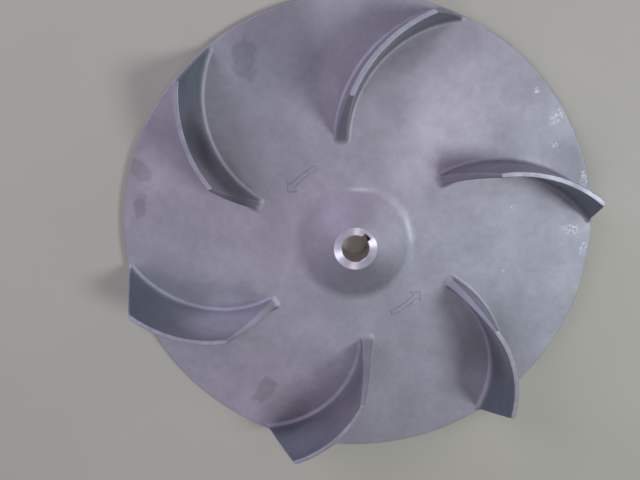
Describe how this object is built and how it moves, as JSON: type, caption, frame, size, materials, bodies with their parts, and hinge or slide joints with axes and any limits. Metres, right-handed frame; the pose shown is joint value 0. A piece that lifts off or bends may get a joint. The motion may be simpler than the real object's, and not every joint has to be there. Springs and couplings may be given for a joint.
{
  "type": "open pump impeller",
  "caption": "Open centrifugal impeller cast in one piece: round back plate, coned hub with a keyed shaft bore, and backward-curved vanes with sloping inlet edges.",
  "frame": {"origin": "on the shaft axis at the faced back of the hub, which the impeller rests on", "axes": "+Z along the shaft axis towards the suction side, +X through the middle of the keyway; the impeller turns counter-clockwise about +Z, as its arrows show"},
  "size_m": [0.49, 0.49, 0.077],
  "materials": {
    "cast_aluminium": "as-cast and blasted, matt, machined bright on the hub face and the vane edges"
  },
  "bodies": {
    "root": {"impeller_casting": "cast_aluminium"}
  },
  "joints": []
}
